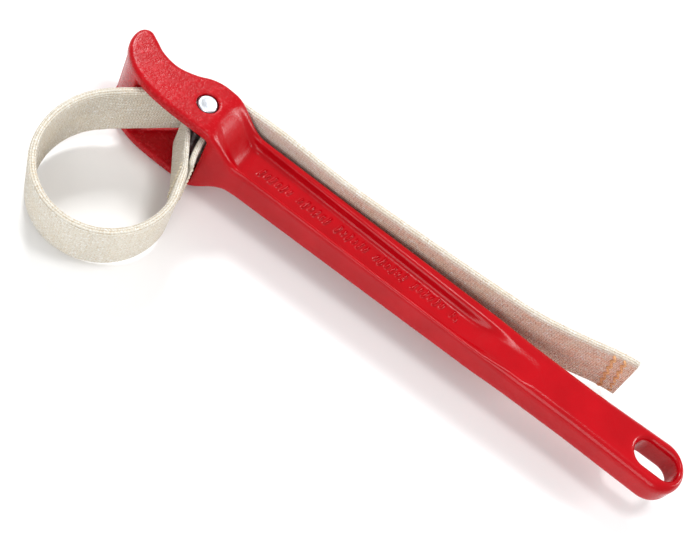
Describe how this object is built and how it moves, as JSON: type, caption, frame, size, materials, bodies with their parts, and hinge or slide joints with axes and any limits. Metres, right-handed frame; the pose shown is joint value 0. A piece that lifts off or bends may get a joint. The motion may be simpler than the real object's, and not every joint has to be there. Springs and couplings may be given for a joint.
{
  "type": "strap wrench",
  "caption": "Strap wrench with a cast red handle, a forked head with a curved beak, a cross pin, and a woven strap looped below the head, its free tail along the handle",
  "frame": {"origin": "On the pin's axis, in the outer face of the lower cheek, the face the tool lies on", "axes": "+X from the pin along the handle to the hanging slot; +Y towards the free tail of the strap; +Z along the pin, away from the ground"},
  "size_m": [0.3033, 0.1117, 0.042],
  "materials": {
    "red_paint": "gloss",
    "pin_steel": "satin",
    "webbing": "matte",
    "eye_thread": "matte",
    "tail_thread": "matte"
  },
  "bodies": {
    "casting": {"handle_casting": "red_paint", "strap_pin": "pin_steel"},
    "loop": {"strap_eye": "webbing", "strap_loop": "webbing", "strap_lead": "webbing", "eye_stitching": "eye_thread"},
    "throat": {"strap_throat": "webbing"},
    "tail": {"strap_tail": "webbing", "tail_stitching": "tail_thread"}
  },
  "joints": [
    {"name": "loop_swing", "type": "hinge", "parent": "casting", "child": "loop", "pos_m": [0, 0, 0.021], "axis": [0, 0, 1], "range_deg": [-4, 4]},
    {"name": "strap_feed", "type": "slide", "parent": "casting", "child": "throat", "axis": [1, 0, 0], "range_m": [0, 0.018]},
    {"name": "tail_lift", "type": "hinge", "parent": "throat", "child": "tail", "pos_m": [0.04, 0.0179, 0.021], "axis": [0, 0, 1], "range_deg": [0, 25]}
  ]
}
